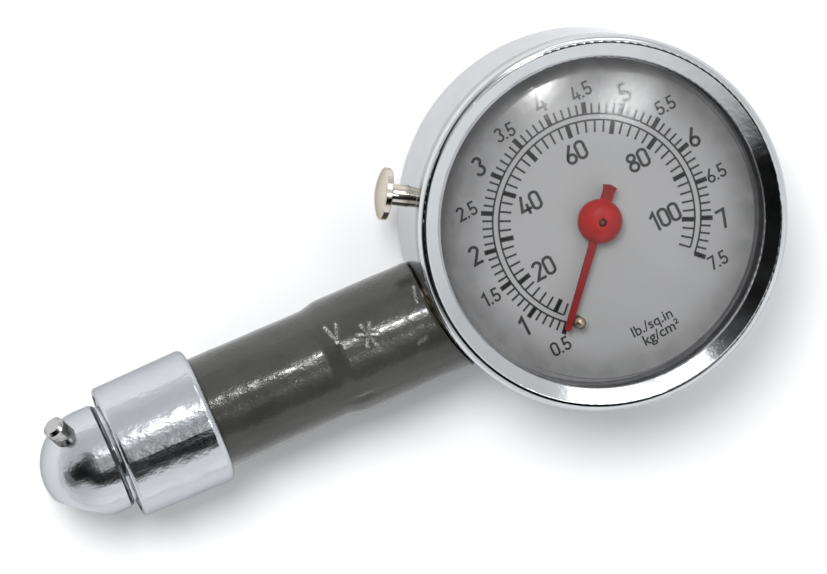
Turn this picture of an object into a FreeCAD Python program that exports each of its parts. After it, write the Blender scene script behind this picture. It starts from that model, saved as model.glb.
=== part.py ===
import FreeCAD, Part
import math
import os

from FreeCAD import Placement, Rotation, Vector

# Dial-type tyre pressure gauge with a straight stem and a ball-shaped chuck.
# Millimetres. Origin on the middle of the flat case back, +Z out through the dial,
# -X along the stem towards the chuck.

# Case
caseRadius = 26.95
caseWall = 1.15
caseFloor = 1.2
caseRearRound = 8.0
dialHeight = 18.4          # dial face above the case back
dialThickness = 0.5
dialShelf = 0.55           # ledge in the case wall that carries the dial
caseRim = 4.0              # case mouth above the dial face
seatGap = 0.05             # gap between pieces that seat in each other

# Bezel, a spun ring pressed over the stepped case mouth, flush with the case wall
bezelSheet = 0.6
bezelBand = 3.35           # from the case wall in to the bezel's bore
bezelBoreHeight = 4.1      # heights are above the dial face
bezelSlope = 0.95          # rise of the face from the bore to its ridge
bezelRidgeInset = 1.05
bezelEdgeInset = 0.12
bezelEdgeDrop = 0.75       # outer edge below the ridge
bezelSkirtEnd = 2.0

# Lens, gasket and spacer ring
lensFlangeHeight = 2.5     # underside of the flange above the dial face
lensSideGap = 0.25
lensTopHeight = 6.0
lensThickness = 1.1
gasketThickness = 0.6
gasketWidth = 1.2
ringWidth = 2.25

# Dial and its stop pin
dialTurn = 5.0             # the dial sits turned against the stem
scaleStart = 226.6         # dial angle of the lowest mark
scaleSweep = 273.2
stopPinRadius = 0.85
stopPinInset = 1.6         # pin in from the needle's point
stopPinTop = 2.4

# Pointer
hubRadius = 3.2
hubTop = 3.5
hubUnderside = 0.9
needleLength = 16.4
needleRoot = 1.25
needleTip = 0.9
needleHeight = 1.3
needleThickness = 0.4
tailLength = 5.2
tailWidth = 1.7
tailFlare = 2.1

# Movement
toothModule = 0.25
pinionTeeth = 10
sectorTeeth = 80           # teeth of the full wheel that the sector is cut from
sectorSpare = 5.0          # degrees of teeth beyond each end of the travel
toothBacklash = 0.05
pressureAngle = 20.0
lowerPlateDrop = 7.0       # drops are below the dial face
plateThickness = 0.8
upperPlateDrop = 2.5
sectorDrop = 4.5
sectorThickness = 0.8
pinionDrop = 4.9
pinionHeight = 1.6
arborRadius = 0.6
pivotRadius = 0.3
pivotGap = 0.05
sectorTail = 3.6
pillarRadius = 1.3
pillarSpigot = 0.8
pillarInset = 10.7         # side pillars in from the middle of the tube
pillarLow = -9.5
pillarHigh = 6.8
plateMargin = 2.0
screwHead = 1.2
screwHeadHeight = 0.7
screwShank = 0.6
screwSlot = 0.35
linkDrop = 5.5
linkThickness = 0.6
linkWidth = 1.8
linkPin = 0.5
linkPlayAtTip = 0.25

# Hairspring
springDrop = 5.8
springHeight = 0.6
springInner = 1.0
springOuter = 3.4
springTurns = 3
springStrip = 0.12
studRadius = 0.45

# Bourdon tube and its tip
tubeInset = 8.45           # middle of the tube's section, in from the case wall
tubeThickness = 2.6
tubeHeight = 7.0
tubeWall = 0.35
tubeDrop = 10.4            # middle of the section below the dial face
tubeRootAngle = 132.0
tubeSeat = 4.0             # degrees of tube inside the socket block
tubeTipAngle = -138.0
tipWrap = 4.0
tipBeyond = 6.0
tipWall = 0.5
tipPinInset = 0.9

# Socket block
blockDepth = 4.5           # block in from the middle of the tube
blockBehind = 6.1          # block out from the middle of the tube
blockTopDrop = 2.2
blockHeight = 12.8
blockValveEnd = 166.0
blockStemEnd = 208.0
blockStemDepth = 2.1
ledgeDepth = 7.0
galleryRadius = 0.9
frameScrewAngles = [176.5, 200.0]
frameScrewInset = 2.4      # screws in from the edge of the ledge
frameScrewHead = 1.3
frameScrewShank = 0.8
frameScrewDepth = 4.0

# Release button and its valve
valveAngle = 150.8
valveDrop = 5.2
buttonHeadRadius = 3.75
buttonRim = 1.1
buttonDome = 0.75
buttonNeck = 1.52
buttonStandoff = 2.7       # neck that shows between the wall and the head
buttonTravel = 1.5
plungerRadius = 1.3
plungerGap = 0.08
bushingRadius = 2.6
neckInside = 1.5           # neck behind the case's outer face
bushingInset = 6.75        # inner end of the bushing, in from the case wall
valveSealThickness = 0.5
valveDisc = 2.0
valveDiscThickness = 0.8
valveChamber = 2.4
valveChamberLength = 4.7
coilWire = 0.35

# Stem
stemY = -5.1
stemDrop = 8.2             # stem's axis below the dial face
neckSpigot = 4.4
neckSpigotInset = 7.45     # inner end of the spigot, in from the case wall
neckBore = 2.5
neckRadius = 7.35
neckEnd = 40.5             # stations along the stem are from the dial's axis
stemTube = 6.5
stemBore = 5.0
stemTubeStart = 30.0
stemTubeEnd = 69.5
sleeveThick = 8.9
sleeveThin = 8.4
sleeveStepStart = 40.3
sleeveStepEnd = 44.7
sleeveGap = 0.15

# Collar and ball-shaped chuck
collarRadius = 10.1
collarFront = 9.85
collarStart = 61.4
collarEnd = 75.6
collarRecess = 8.7
collarRecessDepth = 3.6
collarHeelRound = 1.0
collarRound = 0.6
shankRadius = 7.2
shankStart = 66.0
flangeRadius = 8.9
flangeStart = 72.6
flangeEnd = 75.2
grooveRadius = 7.3
ballRadius = 7.9
ballStation = 79.0
mouthTurn = 55.0           # mouth axis away from the stem's axis
mouthFlat = 6.2            # mouth face from the ball's centre
mouthRadius = 4.05
mouthDepth = 4.4
sealRadius = 4.7
sealHole = 1.6
sealThickness = 2.2
pinRadius = 0.8
pinBaseRadius = 3.1
pinBaseThickness = 0.8
pinAirHole = 0.6
nibRadius = 1.6
nibReach = 3.3
nibSeat = 2.0
nibChamfer = 0.45
nibDirection = Vector(-0.34, 0.77, 0.54)

# Check valve in the chuck's shank
checkBore = 3.4
checkSeat = 73.2
checkOrifice = 1.3
poppetRadius = 2.6
poppetThickness = 1.2
poppetStem = 0.9
poppetStemLength = 2.6
cageThickness = 1.0
cageStation = 66.6

# Values that follow from the ones above
dialUnder = dialHeight - dialThickness
boreRadius = caseRadius - caseWall
shelfBore = boreRadius - dialShelf
rimRadius = caseRadius - bezelSheet - seatGap
stopPinPlace = needleLength - stopPinInset
bezelBore = caseRadius - bezelBand
bezelRidge = caseRadius - bezelRidgeInset
lensShoulder = bezelBore - lensSideGap
lowerPlateBase = dialHeight - lowerPlateDrop
upperPlateBase = dialHeight - upperPlateDrop
sectorBase = dialHeight - sectorDrop
pinionBase = dialHeight - pinionDrop
pinionTop = pinionBase + pinionHeight
linkBase = dialHeight - linkDrop
springBase = dialHeight - springDrop
tubeRadius = caseRadius - tubeInset
tubeMiddle = dialHeight - tubeDrop
tipPinPlace = tubeRadius - tipPinInset
pillarSide = tubeRadius - pillarInset
pillarPlaces = [(-pillarSide, pillarLow), (pillarSide, pillarLow), (0.0, pillarHigh)]
blockInner = tubeRadius - blockDepth
blockOuter = tubeRadius + blockBehind
blockTop = dialHeight - blockTopDrop
blockBase = blockTop - blockHeight
blockStemInner = tubeRadius - blockStemDepth
ledgeInner = tubeRadius - ledgeDepth
frameScrewPlace = ledgeInner + frameScrewInset
valveHeight = dialHeight - valveDrop
bushingInner = caseRadius - bushingInset
valveChamberEnd = bushingInner - valveChamberLength
stemZ = dialHeight - stemDrop
neckSpigotEnd = caseRadius - neckSpigotInset
pinionPitch = toothModule * pinionTeeth / 2
sectorPitch = toothModule * sectorTeeth / 2
gearCentres = pinionPitch + sectorPitch
sectorTravel = scaleSweep * pinionTeeth / sectorTeeth
sectorPivot = Vector(0, -gearCentres, 0)
tailPin = Vector(0, -gearCentres - sectorTail, 0)
tipPinAngle = tubeTipAngle - 2.0
restAngle = scaleStart + dialTurn
neckInnerEnd = caseRadius - neckInside
bushingOuter = neckInnerEnd - buttonTravel - 4 * seatGap
upZ = Vector(0, 0, 1)


def polar(radius, degrees, z=0.0):
    a = math.radians(degrees)
    return Vector(radius * math.cos(a), radius * math.sin(a), z)


tipPin = polar(tipPinPlace, tipPinAngle)


def profileFace(points):
    """Face in the XZ plane from (radius, height) points; a triple (mid, end) marks an arc."""
    edges = []
    first = Vector(points[0][0], 0, points[0][1])
    here = first
    for item in points[1:] + [points[0]]:
        if isinstance(item[0], tuple):
            mid, end = item
            there = Vector(end[0], 0, end[1])
            edges.append(Part.Arc(here, Vector(mid[0], 0, mid[1]), there).toShape())
        else:
            there = Vector(item[0], 0, item[1])
            if there.distanceToPoint(here) > 1e-7:
                edges.append(Part.makeLine(here, there))
        here = there
    return Part.Face(Part.Wire(edges))


def capMid(radius, low, high):
    """Middle of the arc of a spherical cap, from its rim at low to its crown at high."""
    rise = high - low
    ball = (radius * radius + rise * rise) / (2 * rise)
    half = math.asin(radius / abs(ball)) / 2
    return (abs(ball) * math.sin(half), high - ball * (1 - math.cos(half)))


def turned(points):
    """Solid of revolution about Z."""
    return profileFace(points).revolve(Vector(0, 0, 0), upZ, 360)


def tube(outer, inner, low, high):
    return turned([(inner, low), (outer, low), (outer, high), (inner, high)])


def rod(radius, low, high, at=Vector(0, 0, 0)):
    return Part.makeCylinder(radius, high - low, Vector(at.x, at.y, low))


def laidAlong(shape, direction, origin):
    """Turns a shape made about Z so that its +Z lies along direction from origin."""
    placed = shape.copy()
    placed.Placement = Placement(origin, Rotation(upZ, direction)).multiply(shape.Placement)
    return placed


def onStem(shape):
    """Height of the shape becomes the station along the stem."""
    return laidAlong(shape, Vector(-1, 0, 0), Vector(0, stemY, stemZ))


def onValve(shape):
    return laidAlong(shape, polar(1, valveAngle), Vector(0, 0, valveHeight))


def onMouth(shape):
    """Height of the shape becomes the distance from the ball's centre out of the mouth."""
    a = math.radians(mouthTurn)
    out = Vector(-math.cos(a), -math.sin(a), 0)
    return laidAlong(shape, out, Vector(-ballStation, stemY, stemZ))


def ringSector(inner, outer, low, high, fromAngle, toAngle):
    face = profileFace([(inner, low), (outer, low), (outer, high), (inner, high)])
    solid = face.revolve(Vector(0, 0, 0), upZ, toAngle - fromAngle)
    return solid.rotate(Vector(0, 0, 0), upZ, fromAngle)


def bar(start, end, radius, low, high):
    """Flat bar with round ends between two points."""
    line = end - start
    side = Vector(-line.y, line.x, 0).normalize() * radius
    corners = [start + side, end + side, end - side, start - side]
    flat = Part.Face(Part.makePolygon([Vector(p.x, p.y, low) for p in corners + corners[:1]]))
    body = flat.extrude(Vector(0, 0, high - low))
    body = body.fuse(rod(radius, low, high, start))
    return body.fuse(rod(radius, low, high, end)).removeSplitter()


def coil(radius, wire, low, high, turns):
    """Compression spring about Z, its wire drawn six-sided, inside the two heights."""
    rise = high - low - wire
    helix = Part.makeHelix(rise / turns, rise, radius)
    corners = [polar(wire / 2, 60 * i) for i in range(7)]
    section = Part.makePolygon([Vector(radius + p.x, 0, p.y) for p in corners])
    spring = Part.Wire(helix.Edges).makePipeShell([section], True, True)
    spring.translate(Vector(0, 0, low + wire / 2))
    return spring


def toothOutline(teeth, count, firstAngle, addendum):
    """Points of involute teeth, the first tooth centred at firstAngle, in counter-clockwise order."""
    pitch = toothModule * teeth / 2
    alpha = math.radians(pressureAngle)
    base = pitch * math.cos(alpha)
    root = pitch - 1.25 * toothModule
    tip = pitch + addendum * toothModule
    halfTooth = (math.pi * toothModule / 2 - toothBacklash) / 2 / pitch
    rollAtPitch = math.tan(alpha) - alpha
    points = []
    for i in range(count):
        centre = math.radians(firstAngle) + i * 2 * math.pi / teeth
        flank = []
        for radius in (max(base, root), (pitch + max(base, root)) / 2, pitch, (pitch + tip) / 2, tip):
            turn = math.acos(min(1.0, base / radius))
            flank.append((radius, halfTooth + rollAtPitch - math.tan(turn) + turn))
        points.append(Vector(root * math.cos(centre - flank[0][1]), root * math.sin(centre - flank[0][1]), 0))
        for radius, half in flank:
            points.append(Vector(radius * math.cos(centre - half), radius * math.sin(centre - half), 0))
        for radius, half in reversed(flank):
            points.append(Vector(radius * math.cos(centre + half), radius * math.sin(centre + half), 0))
        points.append(Vector(root * math.cos(centre + flank[0][1]), root * math.sin(centre + flank[0][1]), 0))
    return points


def withoutRepeats(points):
    kept = []
    for p in points:
        if not kept or p.distanceToPoint(kept[-1]) > 1e-6:
            kept.append(p)
    return kept


# Case group

def roundedDrum(radius, low, high, rearRound):
    """Drum about Z with its lower rim rounded."""
    cut = rearRound * (1 - math.sqrt(0.5))
    return turned([
        (0, low), (radius - rearRound, low), ((radius - cut, low + cut), (radius, low + rearRound)),
        (radius, high), (0, high)])


def caseHollow(gap, high):
    """Space inside the case below the dial, smaller all round by the gap."""
    return roundedDrum(shelfBore - gap, caseFloor + gap, high, caseRearRound - caseFloor)


def makeCase():
    rimTop = dialHeight + caseRim
    stepLow = dialHeight + bezelSkirtEnd - seatGap
    can = roundedDrum(caseRadius, 0, rimTop, caseRearRound)
    can = can.cut(tube(caseRadius + 1, rimRadius, stepLow, rimTop + 1))
    can = can.cut(caseHollow(0, rimTop)).cut(rod(boreRadius, dialUnder, rimTop))
    can = can.cut(onStem(rod(neckSpigot + seatGap, shelfBore - 8, caseRadius + 1)))
    return can.cut(onValve(rod(buttonNeck + plungerGap, shelfBore - 2, caseRadius + 1)))


def makeBezel():
    skirt = rimRadius + seatGap
    z = dialHeight
    under = bezelBoreHeight - bezelSheet
    ceiling = caseRim + 2 * seatGap
    ridge = z + bezelBoreHeight + bezelSlope
    edge = ridge - bezelEdgeDrop
    return turned([
        (bezelBore, z + under), (bezelBore, z + bezelBoreHeight - 0.15),
        ((bezelBore + 0.06, z + bezelBoreHeight - 0.04), (bezelBore + 0.2, z + bezelBoreHeight + 0.06)),
        (bezelRidge - 0.2, ridge - 0.03), ((bezelRidge - 0.06, ridge), (bezelRidge + 0.1, ridge - 0.01)),
        ((bezelRidge + 0.62, ridge - 0.2), (caseRadius - bezelEdgeInset, edge + 0.1)),
        (caseRadius, edge - 0.1),
        (caseRadius, z + bezelSkirtEnd + 0.1),
        (caseRadius - 0.1, z + bezelSkirtEnd),
        (skirt, z + bezelSkirtEnd), (skirt, z + ceiling), (boreRadius, z + ceiling),
        (bezelBore + bezelSheet, z + under)])


def makeLens():
    z = dialHeight
    flange = boreRadius - seatGap * 4
    low = z + lensFlangeHeight
    top = z + bezelBoreHeight - bezelSheet - seatGap
    crown = z + lensTopHeight
    shoulder = lensShoulder - seatGap
    inner = shoulder - lensThickness * 0.7
    return turned([
        (0, crown), (capMid(shoulder - 1.3, crown - 0.62, crown), (shoulder - 1.3, crown - 0.62)),
        ((shoulder - 0.4, crown - 1.0), (shoulder, crown - 1.75)), (shoulder, top), (flange, top),
        (flange, low), (inner, low), (inner, crown - 2.6),
        ((inner - 0.25, crown - 2.0), (inner - 0.9, crown - 1.68)),
        (capMid(inner - 0.9, crown - 1.68, crown - lensThickness), (0, crown - lensThickness))])


def makeLensGasket():
    outer = boreRadius - seatGap * 4
    low = dialHeight + lensFlangeHeight - gasketThickness
    return tube(outer, outer - gasketWidth, low, low + gasketThickness)


def makeSpacerRing():
    outer = boreRadius - seatGap * 3
    return tube(outer, outer - ringWidth, dialHeight, dialHeight + lensFlangeHeight - gasketThickness)


def makeDial():
    dial = tube(boreRadius - seatGap * 4, arborRadius + 0.5, dialUnder, dialHeight)
    return dial.cut(rod(stopPinRadius * 0.6, dialUnder - 1, dialHeight + 1, stopPinSpot()))


def stopPinSpot():
    """The pin stands beside the needle where it rests, on the low side of the scale."""
    offset = needleTip / 2 + stopPinRadius + seatGap
    return polar(stopPinPlace, restAngle + math.degrees(math.asin(offset / stopPinPlace)))


def makeStopPin():
    top = dialHeight + stopPinTop
    pin = turned([
        (0, dialUnder - 0.3), (stopPinRadius * 0.6, dialUnder - 0.3), (stopPinRadius * 0.6, dialHeight),
        (stopPinRadius, dialHeight), (stopPinRadius, top - 0.4),
        (capMid(stopPinRadius, top - 0.4, top), (0, top))])
    pin.translate(stopPinSpot())
    return pin


# Pointer and movement

def makePointer():
    z = dialHeight
    hub = turned([
        (arborRadius, z + hubUnderside), (hubRadius - 0.3, z + hubUnderside), (hubRadius, z + hubUnderside + 0.3),
        (hubRadius, z + needleHeight + needleThickness + 0.25),
        ((hubRadius * 0.72, z + hubTop - 0.42), (arborRadius, z + hubTop))])
    low = z + needleHeight
    blade = [
        (0, needleRoot / 2), (needleLength - 0.5, needleTip / 2), (needleLength, needleTip / 4),
        (needleLength, -needleTip / 4), (needleLength - 0.5, -needleTip / 2), (0, -needleRoot / 2)]
    tail = [
        (0, -tailWidth / 2), (0.7 - tailLength, -tailWidth / 2), (-tailLength, -tailFlare / 2),
        (-tailLength - 0.25, 0), (-tailLength, tailFlare / 2), (0.7 - tailLength, tailWidth / 2),
        (0, tailWidth / 2)]
    hand = hub
    for outline in (blade, tail):
        corners = [Vector(x, y, low) for x, y in outline + outline[:1]]
        hand = hand.fuse(Part.Face(Part.makePolygon(corners)).extrude(Vector(0, 0, needleThickness)))
    hand = hand.cut(rod(arborRadius, z, z + hubTop + 1)).removeSplitter()
    return hand.rotate(Vector(0, 0, 0), upZ, restAngle)


def makePinionArbor():
    shoulderLow = lowerPlateBase + plateThickness + 0.15
    top = dialHeight + hubTop - 0.35
    arbor = turned([
        (0, lowerPlateBase + 0.1), (pivotRadius, lowerPlateBase + 0.1), (pivotRadius, shoulderLow),
        (arborRadius, shoulderLow), (arborRadius, top - 0.3), (arborRadius - 0.3, top), (0, top)])
    firstAngle = -90 + 180 / pinionTeeth
    outline = withoutRepeats(toothOutline(pinionTeeth, pinionTeeth, firstAngle, 1.0))
    wheel = Part.Face(Part.makePolygon(outline + outline[:1]))
    wheel.translate(Vector(0, 0, pinionBase))
    return arbor.fuse(wheel.extrude(Vector(0, 0, pinionTop - pinionBase)))


def sectorSpan():
    """Directions from the sector's pivot between which it carries teeth at rest."""
    step = 360 / sectorTeeth
    ahead = math.ceil((sectorTravel + sectorSpare) / step)
    behind = math.ceil(sectorSpare / step)
    return ahead, behind, step


def makeSectorGear():
    ahead, behind, step = sectorSpan()
    firstAngle = 90 - ahead * step
    outline = withoutRepeats(toothOutline(sectorTeeth, ahead + behind + 1, firstAngle, 0.8))
    rim = sectorPitch - 6 * toothModule
    lowAngle = firstAngle - step / 2
    highAngle = 90 + behind * step + step / 2
    inner = [polar(rim, highAngle + (lowAngle - highAngle) * i / 12) for i in range(13)]
    face = Part.Face(Part.makePolygon(outline + inner + outline[:1]))
    gear = face.extrude(Vector(0, 0, sectorThickness))
    for angle in (lowAngle + 3, highAngle - 3):
        gear = gear.fuse(bar(Vector(0, 0, 0), polar(rim + 0.4, angle), 0.75, 0, sectorThickness))
    gear = gear.fuse(rod(1.8, 0, sectorThickness))
    gear = gear.fuse(bar(Vector(0, 0, 0), Vector(0, -sectorTail, 0), linkWidth / 2, 0, sectorThickness))
    gear = gear.cut(rod(arborRadius, -1, sectorThickness + 1)).removeSplitter()
    pin = rod(linkPin, linkBase - sectorBase - 0.15, 0, Vector(0, -sectorTail, 0))
    gear = gear.fuse(pin)
    gear.translate(sectorPivot + Vector(0, 0, sectorBase))
    return gear


def makeSectorArbor():
    low = lowerPlateBase + 0.1
    shoulderLow = lowerPlateBase + plateThickness + 0.15
    shoulderHigh = upperPlateBase - 0.15
    high = upperPlateBase + plateThickness - 0.1
    arbor = turned([
        (0, low), (pivotRadius, low), (pivotRadius, shoulderLow), (arborRadius, shoulderLow),
        (arborRadius, shoulderHigh), (pivotRadius, shoulderHigh), (pivotRadius, high), (0, high)])
    arbor.translate(sectorPivot)
    return arbor


def makeLink():
    top = linkBase + linkThickness
    link = bar(tipPin, tailPin, 0.6, linkBase, top)
    for eye in (tipPin, tailPin):
        link = link.fuse(rod(linkWidth / 2 + 0.2, linkBase, top, eye))
    link = link.cut(rod(linkPin + linkPlayAtTip, linkBase - 1, top + 1, tipPin))
    return link.cut(rod(linkPin + pivotGap, linkBase - 1, top + 1, tailPin)).removeSplitter()


def plate(places, margin, low):
    core = Part.Face(Part.makePolygon([Vector(x, y, low) for x, y in places + places[:1]]))
    return core.makeOffset2D(margin).extrude(Vector(0, 0, plateThickness))


def frameScrewSpots():
    return [polar(frameScrewPlace, angle) for angle in frameScrewAngles]


def makeLowerPlate():
    left, right, top = pillarPlaces
    footHigh, footLow = frameScrewSpots()
    places = [top, (footHigh.x, footHigh.y), (footLow.x, footLow.y), left, (0, -gearCentres - 0.4), right]
    body = plate(places, plateMargin, lowerPlateBase)
    body = body.common(rod(blockStemInner - 0.1, 0, dialHeight))
    high = lowerPlateBase + plateThickness
    body = body.cut(rod(pivotRadius + pivotGap, 0, high + 1))
    body = body.cut(rod(pivotRadius + pivotGap, 0, high + 1, sectorPivot))
    for x, y in pillarPlaces:
        body = body.cut(rod(pillarSpigot, 0, high + 1, Vector(x, y, 0)))
    for spot in frameScrewSpots():
        body = body.cut(rod(frameScrewShank + seatGap, 0, high + 1, spot))
    return body


def makeUpperPlate():
    left, right, top = pillarPlaces
    body = plate([top, left, (0, -gearCentres - 0.4), right], plateMargin - 0.2, upperPlateBase)
    high = upperPlateBase + plateThickness
    body = body.cut(rod(arborRadius + pivotGap, 0, high + 1))
    body = body.cut(rod(pivotRadius + pivotGap, 0, high + 1, sectorPivot))
    for x, y in pillarPlaces:
        body = body.cut(rod(screwShank + seatGap, 0, high + 1, Vector(x, y, 0)))
    return body


def makePillars():
    pillars = []
    for x, y in pillarPlaces:
        at = Vector(x, y, 0)
        pillar = rod(pillarRadius, lowerPlateBase + plateThickness, upperPlateBase, at)
        pillar = pillar.fuse(rod(pillarSpigot, lowerPlateBase, lowerPlateBase + plateThickness, at))
        pillars.append(pillar.cut(rod(screwShank, upperPlateBase - 3, upperPlateBase + 1, at)))
    return Part.makeCompound(pillars)


def slottedScrew(at, seat, headRadius, headHeight, shankRadius, depth):
    top = seat + headHeight
    screw = turned([
        (0, seat - depth), (shankRadius, seat - depth), (shankRadius, seat), (headRadius, seat),
        (headRadius, top - 0.25), (headRadius - 0.25, top), (0, top)])
    slot = Part.makeBox(4 * headRadius, screwSlot, screwSlot, Vector(-2 * headRadius, -screwSlot / 2, top - screwSlot))
    screw = screw.cut(slot.rotate(Vector(0, 0, 0), upZ, 35 + 7 * at.x))
    screw.translate(Vector(at.x, at.y, 0))
    return screw


def makeMovementScrews():
    seat = upperPlateBase + plateThickness
    screws = [slottedScrew(Vector(x, y, 0), seat, screwHead, screwHeadHeight, screwShank, 3.5)
              for x, y in pillarPlaces]
    return Part.makeCompound(screws)


def makeFrameScrews():
    seat = lowerPlateBase + plateThickness
    screws = [slottedScrew(spot, seat, frameScrewHead, 0.8, frameScrewShank, frameScrewDepth)
              for spot in frameScrewSpots()]
    return Part.makeCompound(screws)


def spiral(offset):
    steps = springTurns * 20
    points = []
    for i in range(steps + 1):
        radius = springInner + springStrip / 2 + (springOuter - springInner) * i / steps
        points.append(polar(radius + offset, 360 * springTurns * i / steps, springBase))
    curve = Part.BSplineCurve()
    curve.interpolate(points)
    return curve, points[0], points[-1]


def makeHairspring():
    inner, innerStart, innerEnd = spiral(-springStrip / 2)
    outer, outerStart, outerEnd = spiral(springStrip / 2)
    wire = Part.Wire([
        inner.toShape(), Part.makeLine(innerEnd, outerEnd), outer.toShape(), Part.makeLine(outerStart, innerStart)])
    return Part.Face(wire).extrude(Vector(0, 0, springHeight))


def makeHairspringCollet():
    return tube(springInner - 0.02, arborRadius, springBase - 0.1, springBase + springHeight)


def makeHairspringStud():
    place = polar(springOuter + springStrip + studRadius + 0.03, 0)
    return rod(studRadius, lowerPlateBase + plateThickness, springBase + springHeight + 0.2, place)


# Pressure parts

def ovalFace(thickness, height):
    """Section of the flattened tube, its two round ends drawn in four flats each."""
    r = thickness / 2
    straight = height / 2 - r
    points = []
    for i in range(5):
        p = polar(r, 45 * i)
        points.append((tubeRadius + p.x, tubeMiddle + straight + p.y))
    for i in range(5):
        p = polar(r, 180 + 45 * i)
        points.append((tubeRadius + p.x, tubeMiddle - straight + p.y))
    return profileFace(points)


def makeBourdonTube():
    start = tubeTipAngle
    sweep = tubeRootAngle + tubeSeat - start
    outer = ovalFace(tubeThickness, tubeHeight).revolve(Vector(0, 0, 0), upZ, sweep)
    inner = ovalFace(tubeThickness - 2 * tubeWall, tubeHeight - 2 * tubeWall)
    inner = inner.revolve(Vector(0, 0, 0), upZ, sweep)
    return outer.cut(inner).rotate(Vector(0, 0, 0), upZ, start)


def makeTubeTip():
    inner = tubeRadius - tubeThickness / 2 - tipWall
    outer = tubeRadius + tubeThickness / 2 + tipWall
    low = tubeMiddle - tubeHeight / 2 - tipWall
    high = tubeMiddle + tubeHeight / 2 + tipWall
    tip = ringSector(inner, outer, low, high, tubeTipAngle - tipBeyond, tubeTipAngle + tipWrap)
    seat = ovalFace(tubeThickness, tubeHeight).revolve(Vector(0, 0, 0), upZ, tipWrap + 2)
    tip = tip.cut(seat.rotate(Vector(0, 0, 0), upZ, tubeTipAngle))
    tip = tip.fuse(rod(linkPin + 0.45, high - 0.2, linkBase - 0.15, tipPin))
    return tip.fuse(rod(linkPin, linkBase - 0.2, linkBase + linkThickness + 0.3, tipPin))


def makeSocketBlock():
    block = ringSector(blockInner, blockOuter, blockBase, blockTop, tubeRootAngle, blockValveEnd)
    stemPart = ringSector(blockStemInner, blockOuter, blockBase, blockTop, blockValveEnd, blockStemEnd)
    ledge = ringSector(ledgeInner, blockStemInner, blockBase, lowerPlateBase, blockValveEnd, blockStemEnd)
    block = block.fuse(stemPart).fuse(ledge)
    boss = onStem(rod(neckSpigot + 1.5, neckSpigotEnd, caseRadius))
    block = block.fuse(boss.common(rod(shelfBore - seatGap, blockBase, blockTop)))
    block = block.cut(onStem(rod(neckSpigot + seatGap, neckSpigotEnd, caseRadius)))
    block = block.cut(onStem(rod(neckBore, neckSpigotEnd - 1.6, neckSpigotEnd + 1)))
    block = block.cut(onValve(rod(bushingRadius, bushingInner, blockOuter + 2)))
    block = block.cut(onValve(rod(valveChamber, valveChamberEnd, bushingInner)))
    seat = ovalFace(tubeThickness, tubeHeight).revolve(Vector(0, 0, 0), upZ, tubeSeat + 2)
    block = block.cut(seat.rotate(Vector(0, 0, 0), upZ, tubeRootAngle - 2))
    stemEnd = Vector(-neckSpigotEnd + 1, stemY, stemZ)
    chamber = polar((bushingInner + valveChamberEnd) / 2 + 1, valveAngle, valveHeight - valveChamber + 0.6)
    tubeEnd = polar(tubeRadius, tubeRootAngle + tubeSeat - 0.5, tubeMiddle + 0.5)
    for start, end in ((stemEnd, chamber), (chamber, tubeEnd)):
        way = end - start
        block = block.cut(Part.makeCylinder(galleryRadius, way.Length, start, way))
    for spot in frameScrewSpots():
        deep = lowerPlateBase + plateThickness - frameScrewDepth
        block = block.cut(rod(frameScrewShank, deep - 0.3, lowerPlateBase + 1, spot))
    return block.common(caseHollow(seatGap, dialUnder)).removeSplitter()


# Release valve

def makeReleaseButton():
    start = neckInnerEnd
    low = caseRadius + buttonStandoff
    rim = low + buttonRim
    return onValve(turned([
        (0, start + 1.2), (0.8, start + 1.2), (0.8, start), (buttonNeck, start), (buttonNeck, low),
        (buttonHeadRadius - 0.15, low), (buttonHeadRadius, low + 0.15), (buttonHeadRadius, rim - 0.2),
        (buttonHeadRadius - 0.2, rim), (capMid(buttonHeadRadius - 0.2, rim, rim + buttonDome), (0, rim + buttonDome))]))


def makeReleasePlunger():
    join = neckInnerEnd
    disc = bushingInner - valveSealThickness
    return onValve(turned([
        (0, disc - valveDiscThickness), (valveDisc, disc - valveDiscThickness), (valveDisc, disc),
        (plungerRadius, disc), (plungerRadius, join), (0.8, join), (0.8, join + 1.2), (0, join + 1.2)]))


def makeReleaseBushing():
    return onValve(turned([
        (plungerRadius + plungerGap, bushingInner), (bushingRadius, bushingInner),
        (bushingRadius, bushingOuter), (plungerRadius + plungerGap, bushingOuter)]))


def makeReleaseSeal():
    return onValve(tube(valveDisc, plungerRadius, bushingInner - valveSealThickness, bushingInner))


def makeReleaseSpring():
    top = bushingInner - valveSealThickness - valveDiscThickness
    return onValve(coil(valveDisc - coilWire, coilWire, valveChamberEnd, top, 2.5))


# Stem

def makeStemNeck():
    body = rod(neckRadius, shelfBore - 8, neckEnd)
    body = onStem(body).cut(rod(caseRadius + seatGap, -1, 2 * dialHeight))
    neck = body.fuse(onStem(rod(neckSpigot, neckSpigotEnd, caseRadius + 0.5)))
    neck = neck.cut(onStem(rod(neckBore, 0, neckEnd + 1)))
    return neck.cut(onStem(rod(stemTube, stemTubeStart, neckEnd + 1)))


def makeStemTube():
    return onStem(tube(stemTube, stemBore, stemTubeStart, stemTubeEnd))


def makeGripSleeve():
    inner = neckRadius + seatGap
    tight = stemTube + seatGap
    end = collarStart + collarRecessDepth - 0.6
    sleeve = onStem(turned([
        (inner, 20), (sleeveThick, 20), (sleeveThick, sleeveStepStart),
        ((sleeveThick - 0.12, sleeveStepStart + 1.1), (sleeveThin + 0.14, sleeveStepEnd - 1.4)),
        (sleeveThin, sleeveStepEnd), (sleeveThin, end - 0.4), (sleeveThin - 0.4, end), (tight, end),
        (tight, neckEnd + 1.4), (inner, neckEnd + 0.2)]))
    return sleeve.cut(rod(caseRadius + sleeveGap, -1, 2 * dialHeight))


# Chuck

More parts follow.
